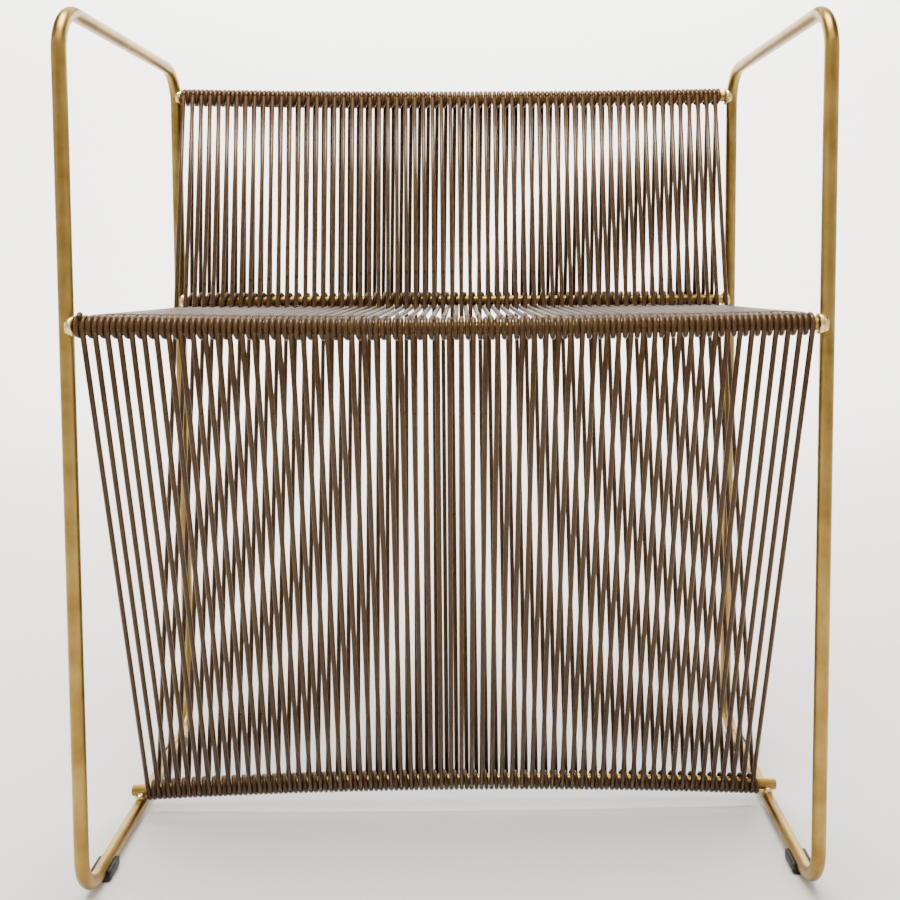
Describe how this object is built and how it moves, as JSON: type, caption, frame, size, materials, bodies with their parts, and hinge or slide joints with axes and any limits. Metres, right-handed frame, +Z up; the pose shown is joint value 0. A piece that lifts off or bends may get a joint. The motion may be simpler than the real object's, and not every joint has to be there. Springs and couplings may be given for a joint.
{
  "type": "magazine rack",
  "caption": "Free-standing magazine rack: two closed round-rod loops joined by cross bars, strung with a wound cord that forms a front, a slanted back and a flat web.",
  "frame": {"origin": "middle of the footprint, on the floor that the feet stand on", "axes": "+X to the right seen from the front, +Y towards the back, +Z up; the front faces -Y"},
  "size_m": [0.4224, 0.224, 0.5],
  "materials": {
    "satin_brass": "brushed satin brass on steel rod",
    "weld_brass": "bright brazed filler, slightly lumpy",
    "foot_plastic": "moulded black plastic",
    "brown_cord": "smooth round waxed cord with a satin shine"
  },
  "bodies": {
    "root": {"left_side_loop": "satin_brass", "right_side_loop": "satin_brass", "front_bar": "satin_brass", "seat_bar": "satin_brass", "top_bar": "satin_brass", "low_bar": "satin_brass", "front_bar_weld_left": "weld_brass", "front_bar_weld_right": "weld_brass", "seat_bar_weld_left": "weld_brass", "seat_bar_weld_right": "weld_brass", "top_bar_weld_left": "weld_brass", "top_bar_weld_right": "weld_brass", "low_bar_weld_left": "weld_brass", "low_bar_weld_right": "weld_brass", "front_left_foot": "foot_plastic", "front_right_foot": "foot_plastic", "rear_left_foot": "foot_plastic", "rear_right_foot": "foot_plastic", "front_strands": "brown_cord", "back_strands": "brown_cord", "rear_strands": "brown_cord", "seat_strands": "brown_cord", "front_bar_wraps": "brown_cord", "low_bar_wraps": "brown_cord", "top_bar_wraps": "brown_cord", "seat_bar_wraps": "brown_cord", "cord_tail": "brown_cord"}
  },
  "joints": []
}
